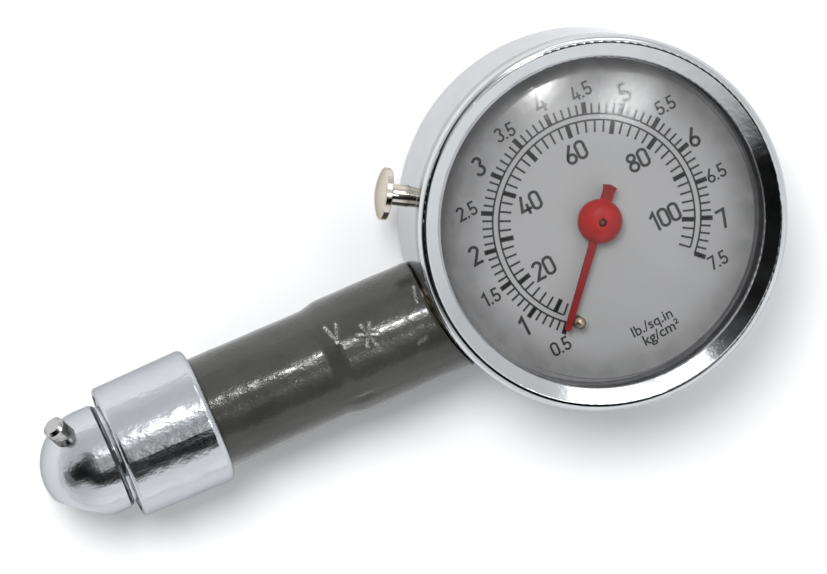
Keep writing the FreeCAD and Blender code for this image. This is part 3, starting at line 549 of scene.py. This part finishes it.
def ribbon(shape, points, width, base, high):
    # a printed stroke: a flat bar along the points with mitred corners
    closed = (Vector(points[0]) - Vector(points[-1])).length < 1e-7
    path = [Vector(p) for p in (points[:-1] if closed else points)]
    count = len(path)
    sides = []
    for i, here in enumerate(path):
        before = path[i - 1] if closed or i else None
        after = path[(i + 1) % count] if closed or i < count - 1 else None
        ways = []
        if before is not None:
            ways.append((here - before).normalized())
        if after is not None:
            ways.append((after - here).normalized())
        across = sum((Vector((-w.y, w.x)) for w in ways), Vector((0, 0))).normalized()
        lean = max(0.45, abs(across.dot(Vector((-ways[0].y, ways[0].x)))))
        sides.append(across * width / 2 / lean)
    rows = []
    for here, side in zip(path, sides):
        left, right = here + side, here - side
        rows.append([shape.verts.new((p.x, p.y, z)) for p, z in (
            (left, base), (left, base + high), (right, base + high), (right, base))])
    pairs = list(zip(rows, rows[1:])) + ([(rows[-1], rows[0])] if closed else [])
    for first, second in pairs:
        for k in range(4):
            shape.faces.new((first[k], first[(k + 1) % 4], second[(k + 1) % 4], second[k]))
    if not closed:
        shape.faces.new(rows[0])
        shape.faces.new(rows[-1])


# (text, across, down, height in mm): each centre as measured on a flat, upright view of the dial
labelsSeen = [
    ("0.5", 278, 825, 2.1), ("1", 210, 718, 2.9), ("1.5", 165, 592, 2.1), ("2", 183, 460, 2.9),
    ("2.5", 222, 333, 2.1), ("3", 315, 235, 2.9), ("3.5", 430, 185, 2.1), ("4", 562, 160, 2.9),
    ("4.5", 685, 190, 2.1), ("5", 797, 258, 2.9), ("5.5", 887, 352, 2.1), ("6", 917, 478, 2.9),
    ("6.5", 928, 605, 2.1), ("7", 883, 735, 2.9), ("7.5", 812, 837, 2.1),
    ("20", 343, 595, 2.9), ("40", 397, 405, 2.9), ("60", 587, 342, 2.9), ("80", 740, 455, 2.9),
    ("100", 733, 643, 2.9)]
unitsSeen = [("lb./sq.in", 550, 903), ("kg/cm²", 562, 942)]
flatView = dict(centre=550.0, outerArc=314.3, lean=1.55)


def flatPlace(across, down):
    # from the flat view to mm on the upright dial
    scale, lean = dialLook["outerArc"] / flatView["outerArc"], math.radians(flatView["lean"])
    x, y = (across - flatView["centre"]) * scale, (flatView["centre"] - down) * scale
    return x * math.cos(lean) - y * math.sin(lean), x * math.sin(lean) + y * math.cos(lean)


def ontoDial(x, y):
    turn = Matrix.Rotation(math.radians(dialLook["turn"]), 4, "Z")
    return turn @ Matrix.Translation(Vector((x, y, dialLook["top"])) * mm)


def makeNumerals():
    d = dialLook
    every = bmesh.new()
    for text, across, down, size in labelsSeen:
        x, y = flatPlace(across, down)
        spread = size * d["digitWide"]
        wide = sum(glyphs[c][0] for c in text) * spread
        label = bmesh.new()
        at = -wide / 2
        for c in text:
            advance, strokes = glyphs[c]
            for stroke in strokes:
                points = [((at + px * spread) * mm, (py - 0.5) * size * mm) for px, py in stroke]
                ribbon(label, points, d["stroke"] * size * mm, 0.0, d["inkHeight"] * mm)
            at += advance * spread
        bmesh.ops.transform(label, matrix=ontoDial(x, y), verts=label.verts)
        held = bpy.data.meshes.new("label")
        label.to_mesh(held)
        label.free()
        every.from_mesh(held)
        bpy.data.meshes.remove(held)
    return meshObject("dialNumbers", every, "ink")


def makeUnits():
    pieces = []
    for text, across, down in unitsSeen:
        curve = bpy.data.curves.new("unit", "FONT")
        curve.body = text
        curve.align_x = "CENTER"
        curve.align_y = "CENTER"
        curve.size = dialLook["unitLetters"] * mm
        curve.offset = 0.012 * curve.size
        curve.extrude = dialLook["inkHeight"] * mm / 2
        curve.resolution_u = 4
        holder = bpy.data.objects.new("unit", curve)
        scene.collection.objects.link(holder)
        made = plainMesh(holder, "unitMesh")
        lift = Matrix.Translation((0, 0, dialLook["inkHeight"] * mm / 2))
        made.data.transform(ontoDial(*flatPlace(across, down)) @ lift)
        pieces.append(made)
    return joinPieces(pieces, "dialUnits")


for piece in (makeScale(), makeNumerals(), makeUnits()):
    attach(piece, "gauge_body")
print("dial printed")


def creaseHeight(look, station, arc):
    # how far a point stands out: a ridge along the line from a to b
    ax, ay = look["a"][0], look["a"][1] * arc
    bx, by = look["b"][0], look["b"][1] * arc
    px, py = station
    length = (bx - ax) ** 2 + (by - ay) ** 2
    t = min(1.0, max(0.0, ((px - ax) * (bx - ax) + (py - ay) * (by - ay)) / length))
    away = math.hypot(px - ax - t * (bx - ax), py - ay - t * (by - ay))
    return look["high"] * math.exp(-(away / look["wide"]) ** 2)


def sleeveRadius(station, angle):
    d = sleeveLook
    lean = d["stepLean"] * math.cos(angle - math.radians(d["stepLeanAngle"]))
    t = (station - d["stepAt"] - lean) / d["stepHalf"]
    t = min(1.0, max(-1.0, t))
    radius = d["thick"] + (d["thin"] - d["thick"]) * (0.5 + 0.75 * t - 0.25 * t ** 3)
    seat = Vector((station * 0.11, 1.3 * math.cos(angle), 1.3 * math.sin(angle)))
    radius += (noise.noise(seat) - 0.55) * d["wander"]
    seat = Vector((station * 0.45, 3.2 * math.cos(angle), 3.2 * math.sin(angle)))
    radius += (noise.noise(seat) - 0.55) * d["flutes"]
    arc = math.radians(1.0) * d["thick"]
    place = (station, math.degrees(angle) * arc)
    for crease in d["creases"]:
        radius += creaseHeight(crease, place, arc)
    for dent in d["dents"]:
        u = (place[0] - dent["at"][0]) / dent["long"]
        v = (place[1] - dent["at"][1] * arc) / dent["wide"]
        radius -= dent["deep"] * math.exp(-u * u - v * v) * (1.6 - u * u - v * v)
    return radius


def makeSleeve():
    d = sleeveLook
    shape = bmesh.new()
    rings, sides = d["rings"], d["sides"]
    rows = []

    def seat(station, radius, angle):
        y = d["axisY"] + radius * math.cos(angle)
        z = d["axisZ"] + radius * math.sin(angle)
        return shape.verts.new((-station * mm, y * mm, z * mm))

    def start(radius, angle):
        y = d["axisY"] + radius * math.cos(angle)
        return math.sqrt(d["caseReach"] ** 2 - y * y)

    angles = [2 * math.pi * k / sides for k in range(sides)]
    for i in range(rings + 1):
        row = []
        for angle in angles:
            first = start(d["thick"], angle)
            station = first + (d["end"] - first) * i / rings
            radius = sleeveRadius(station, angle)
            inset = max(0.0, 1.0 - (station - first) / d["edgeRound"])
            radius -= d["edgeRound"] * (1.0 - math.sqrt(1.0 - inset * inset))
            row.append(seat(station, radius, angle))
        rows.append(row)
    rows.append([seat(d["end"], d["inner"], angle) for angle in angles])
    rows.append([seat(start(d["inner"], angle), d["inner"], angle) for angle in angles])
    rows.append(rows[0])
    for low, high in zip(rows, rows[1:]):
        for k in range(sides):
            n = (k + 1) % sides
            shape.faces.new((low[k], high[k], high[n], low[n]))
    return meshObject("gripSleeve", shape, "sleeve", smooth=True)


sleeve = makeSleeve()
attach(sleeve, "gauge_body")
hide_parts("grip_sleeve")
print("sleeve made:", len(sleeve.data.polygons), "faces")


# floor, camera and light
stageLook = dict(floorSize=3.0, floorTop=-0.0001)


def makeFloor():
    size, top = stageLook["floorSize"], stageLook["floorTop"]
    mesh = bpy.data.meshes.new("floor")
    corners = [(-size, -size, top), (size, -size, top), (size, size, top), (-size, size, top)]
    mesh.from_pydata(corners, [], [(0, 1, 2, 3)])
    mesh.materials.append(materials["floor"])
    floor = bpy.data.objects.new("floor", mesh)
    scene.collection.objects.link(floor)


cameraLook = dict(
    place=(-99.1, 112.6, 563.9), right=(0.9106, -0.3655, 0.1927), back=(-0.1264, 0.1977, 0.9721),
    lens=172.16, sensor=36.0, near=0.01, far=20.0)


def makeCamera():
    data = bpy.data.cameras.new("camera")
    data.lens = cameraLook["lens"]
    data.sensor_width = cameraLook["sensor"]
    data.clip_start, data.clip_end = cameraLook["near"], cameraLook["far"]
    camera = bpy.data.objects.new("camera", data)
    scene.collection.objects.link(camera)
    back = Vector(cameraLook["back"]).normalized()
    right = Vector(cameraLook["right"])
    right = (right - back * right.dot(back)).normalized()
    up = back.cross(right)
    turn = Matrix((right, up, back)).transposed().to_4x4()
    camera.matrix_world = Matrix.Translation(Vector(cameraLook["place"]) * mm) @ turn
    scene.camera = camera


# the room as the metal sees it: strength by elevation, then lit patches with the value they add and
# dark ones with the share they leave, each with a direction and the angles where it is full and ends
roomLook = dict(
    tone=colour(0.965, 0.98, 1.0), horizon=0.98, middle=0.78, top=0.92,
    lit=[
        ((0.30, -0.85, 0.38), 20, 62, 0.30),
        ((0.43, 0.46, 0.78), 6, 12, 2.4),
        ((0.30, 0.80, 0.52), 4, 9, 1.6)],
    dark=[
        ((-0.87, -0.05, 0.48), 13, 23, 0.28),
        ((-0.66, 0.08, 0.74), 15, 25, 0.06),
        ((-0.46, 0.10, 0.88), 17, 27, 0.12),
        ((-0.30, -0.22, 0.93), 15, 24, 0.12),
        ((-0.12, -0.44, 0.89), 13, 21, 0.06),
        ((0.10, -0.47, 0.88), 9, 16, 0.10),
        ((-0.22, 0.42, 0.88), 10, 17, 0.06),
        ((0.03, -0.60, 0.80), 7, 14, 0.20),
        ((0.03, 0.12, 0.99), 4, 11, 0.45)])


def makeRoom():
    world = bpy.data.worlds.new("room")
    world.use_nodes = True
    scene.world = world
    g = Graph(world.node_tree)
    look = roomLook
    ray = g.node("ShaderNodeTexCoord")["Generated"]

    def towards(direction):
        aim = Vector(direction).normalized()
        return g.node("ShaderNodeVectorMath", {"operation": "DOT_PRODUCT"}, {
            0: ray, 1: tuple(aim)})["Value"]

    rise = towards((0, 0, 1))
    strength = rise.ramp(0.0, 0.5, look["horizon"], look["middle"])
    strength = rise.ramp(0.6, 1.0, 0.0, look["top"] - look["middle"]) + strength
    for direction, full, end, value in look["lit"]:
        low, high = math.cos(math.radians(end)), math.cos(math.radians(full))
        strength = towards(direction).ramp(low, high, 0.0, value) + strength
    for direction, full, end, value in look["dark"]:
        low, high = math.cos(math.radians(end)), math.cos(math.radians(full))
        strength = towards(direction).ramp(low, high, 1.0, value) * strength
    back = g.node("ShaderNodeBackground", None, {"Color": look["tone"], "Strength": strength})
    g.node("ShaderNodeOutputWorld", None, {"Surface": back["Background"]})


# the key lamp lights the scene and isn't mirrored; the small ones are only seen in gloss
lampLook = [
    dict(name="keyLamp", place=(-0.20, 0.46, 0.81), size=0.42, high=0.42, power=7.6,
         shines=True, mirrored=False),
    dict(name="sparkleLamp", place=(0.09, 0.41, 0.79), size=0.06, high=0.06, power=1.9,
         shines=False, mirrored=True),
    dict(name="windowLamp", place=(0.1510, -0.044, 0.60), size=0.020, high=0.042, power=0.052,
         shines=False, mirrored=True),
    dict(name="glintLamp", place=(0.0990, -0.0085, 0.620), size=0.009, high=0.009, power=0.20,
         shines=False, mirrored=True),
]


def makeLamps():
    for look in lampLook:
        data = bpy.data.lights.new(look["name"], "AREA")
        data.shape = "ELLIPSE"
        data.size = look["size"]
        data.size_y = look["high"]
        data.energy = look["power"]
        lamp = bpy.data.objects.new(look["name"], data)
        scene.collection.objects.link(lamp)
        lamp.visible_glossy = look["mirrored"]
        lamp.visible_diffuse = look["shines"]
        lamp.location = look["place"]
        lamp.rotation_mode = "QUATERNION"
        lamp.rotation_quaternion = (-Vector(look["place"])).to_track_quat("-Z", "Y")


makeFloor()
makeCamera()
makeRoom()
makeLamps()
scene.view_settings.view_transform = "Standard"
scene.view_settings.look = "None"
print("stage, camera and light made")
